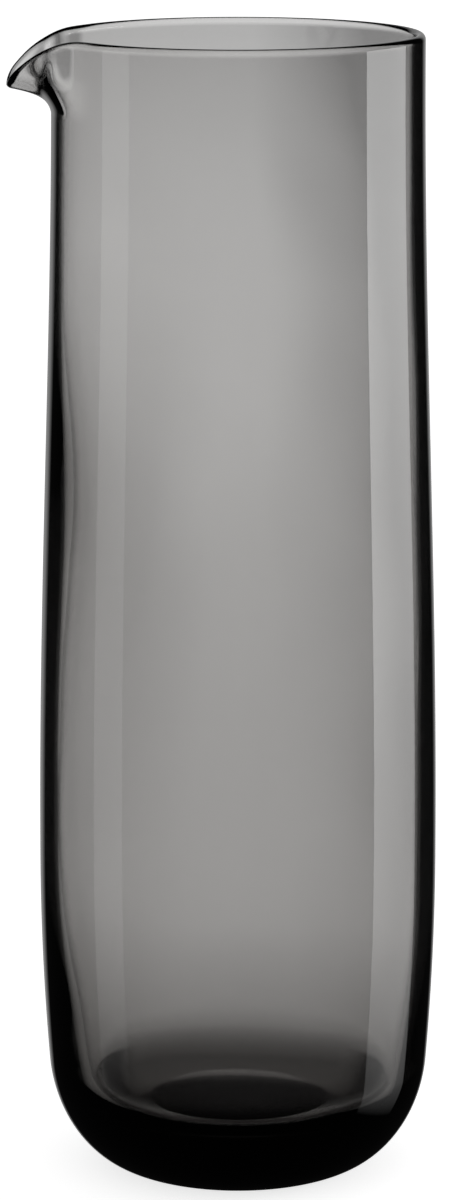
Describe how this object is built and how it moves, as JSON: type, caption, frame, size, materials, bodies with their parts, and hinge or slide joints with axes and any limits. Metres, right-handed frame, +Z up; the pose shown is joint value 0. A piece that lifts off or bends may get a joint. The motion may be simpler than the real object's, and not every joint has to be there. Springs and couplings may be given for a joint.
{
  "type": "carafe",
  "caption": "Tall smoke-grey glass carafe: slim, nearly straight wall, rounded heel on a thick solid base, open top with a pouring lip pulled out of the rim.",
  "frame": {"origin": "centre of the flat foot that the carafe stands on", "axes": "+Z up along the carafe's axis to its open rim, -X towards the pouring lip, +Y to the far side when the lip points left"},
  "size_m": [0.1077, 0.101, 0.29],
  "materials": {
    "smoke_glass": "clear glass coloured smoke grey all through, fire-polished, nearly black where it is thick"
  },
  "bodies": {
    "root": {"glass_vessel": "smoke_glass"}
  },
  "joints": []
}
